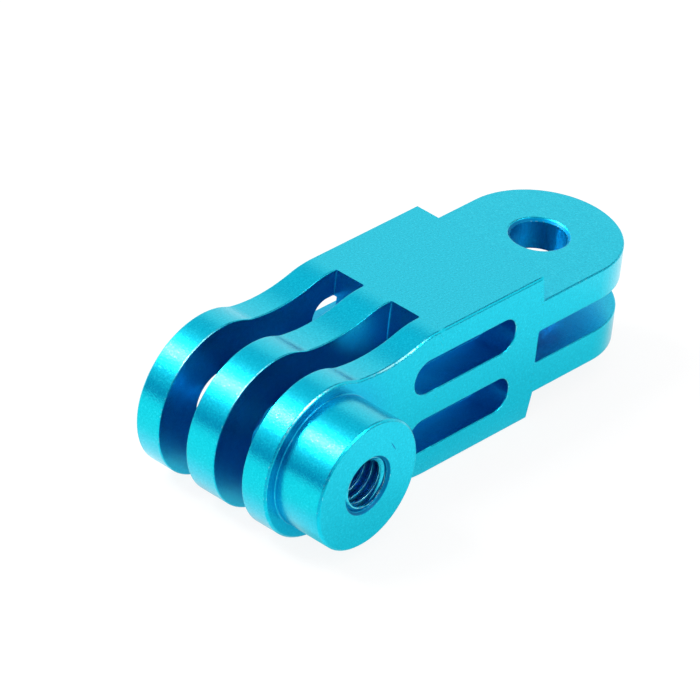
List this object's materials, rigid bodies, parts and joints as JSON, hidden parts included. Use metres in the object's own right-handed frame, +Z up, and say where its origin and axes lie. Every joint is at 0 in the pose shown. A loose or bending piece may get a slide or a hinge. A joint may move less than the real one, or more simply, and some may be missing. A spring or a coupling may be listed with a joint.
{
  "type": "extension arm with a three-prong knuckle and a two-prong end",
  "caption": "Milled aluminium extension arm: a prong knuckle with a threaded boss at one end, a prong pair turned a quarter turn at the other, and two blind slots in each side of its block.",
  "frame": {"origin": "on the knuckle's bolt axis, halfway across the width", "axes": "+X from the knuckle to the two-prong end, +Y along the knuckle's bolt and away from the threaded boss, +Z up along the two-prong end's bolt"},
  "size_m": [0.0492, 0.0196, 0.0142],
  "materials": {
    "anodised_aluminium": "satin cyan anodise over a fine blasted grain"
  },
  "bodies": {
    "root": {"extension_arm": "anodised_aluminium"}
  },
  "joints": []
}
